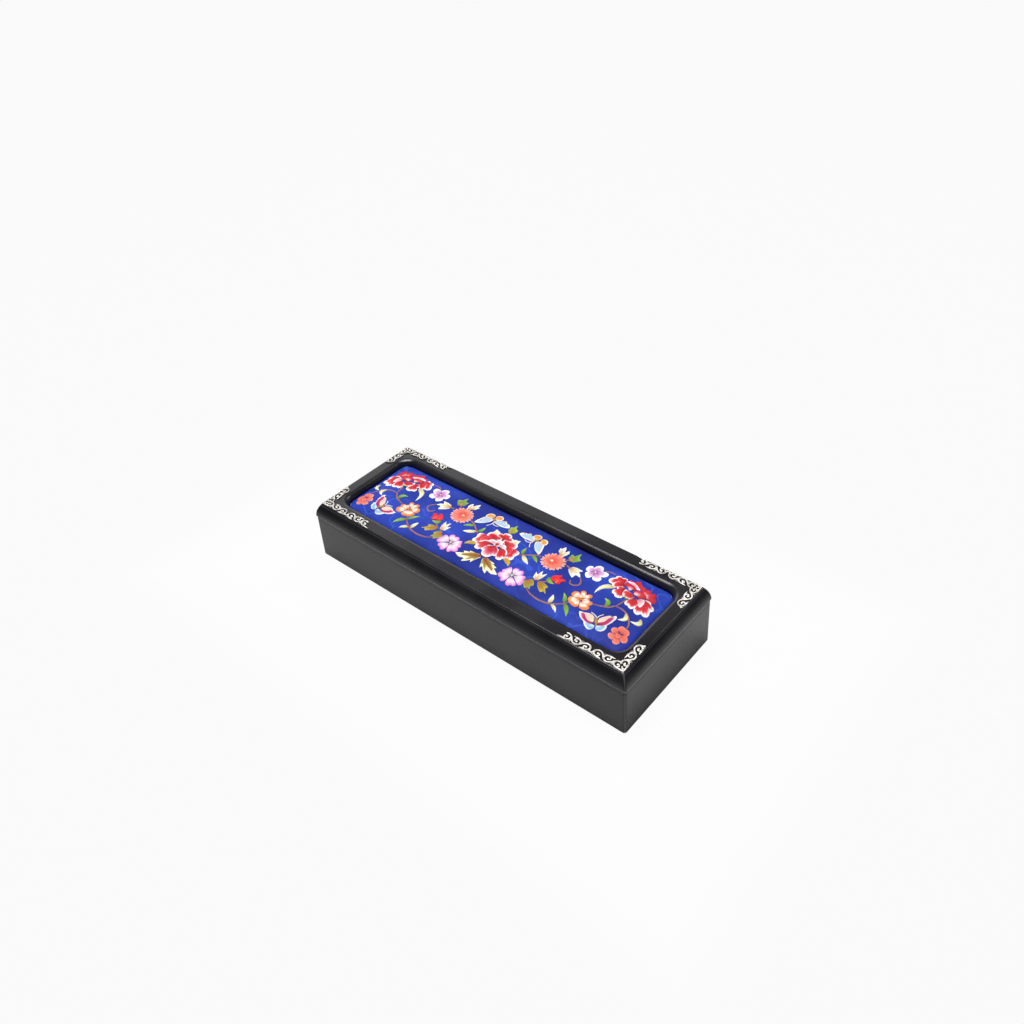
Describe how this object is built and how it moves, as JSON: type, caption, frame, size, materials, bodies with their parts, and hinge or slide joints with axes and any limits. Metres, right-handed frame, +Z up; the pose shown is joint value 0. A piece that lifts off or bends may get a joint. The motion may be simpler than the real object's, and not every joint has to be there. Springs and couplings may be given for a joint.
{
  "type": "hinged pen case",
  "caption": "Long hinged box for pens, with a moulded lid that holds a padded cloth panel and pierced metal mounts at its corners.",
  "frame": {"origin": "middle of the footprint, on the surface the case stands on", "axes": "+X along the case to the right, -Y to the front, +Z up; the lid is hinged along the back, +Y"},
  "size_m": [0.23, 0.081, 0.0405],
  "materials": {
    "lacquered_wood": "black lacquer, soft gloss",
    "bottom_board": "plain wood",
    "base_felt": "black felt",
    "velvet_lining": "deep blue velvet over board",
    "card": "grey board",
    "wadding": "white wadding",
    "satin": "royal blue satin with silk embroidery",
    "silver_mount": "silver plated, lightly brushed",
    "hinge_brass": "polished brass"
  },
  "bodies": {
    "case": {"case_front_wall": "lacquered_wood", "case_back_wall": "lacquered_wood", "case_left_wall": "lacquered_wood", "case_right_wall": "lacquered_wood", "bottom_board": "bottom_board", "base_felt": "base_felt", "floor_lining": "velvet_lining", "front_lining": "velvet_lining", "back_lining": "velvet_lining", "left_lining": "velvet_lining", "right_lining": "velvet_lining", "left_hinge_case_leaf": "hinge_brass", "left_hinge_case_screw_1": "hinge_brass", "left_hinge_case_screw_2": "hinge_brass", "left_hinge_pin": "hinge_brass", "right_hinge_case_leaf": "hinge_brass", "right_hinge_case_screw_1": "hinge_brass", "right_hinge_case_screw_2": "hinge_brass", "right_hinge_pin": "hinge_brass"},
    "lid": {"lid_board": "lacquered_wood", "lid_front_rim": "lacquered_wood", "lid_back_rim": "lacquered_wood", "lid_left_rim": "lacquered_wood", "lid_right_rim": "lacquered_wood", "lid_lining": "velvet_lining", "panel_card": "card", "panel_wadding": "wadding", "panel_satin": "satin", "front_left_corner_mount": "silver_mount", "front_right_corner_mount": "silver_mount", "back_left_corner_mount": "silver_mount", "back_right_corner_mount": "silver_mount", "left_hinge_lid_leaf": "hinge_brass", "left_hinge_lid_screw_1": "hinge_brass", "left_hinge_lid_screw_2": "hinge_brass", "right_hinge_lid_leaf": "hinge_brass", "right_hinge_lid_screw_1": "hinge_brass", "right_hinge_lid_screw_2": "hinge_brass"}
  },
  "joints": [
    {"name": "lid_hinge", "type": "hinge", "parent": "case", "child": "lid", "pos_m": [0, 0.0391, 0.0289], "axis": [-1, 0, 0], "range_deg": [0, 105]}
  ]
}
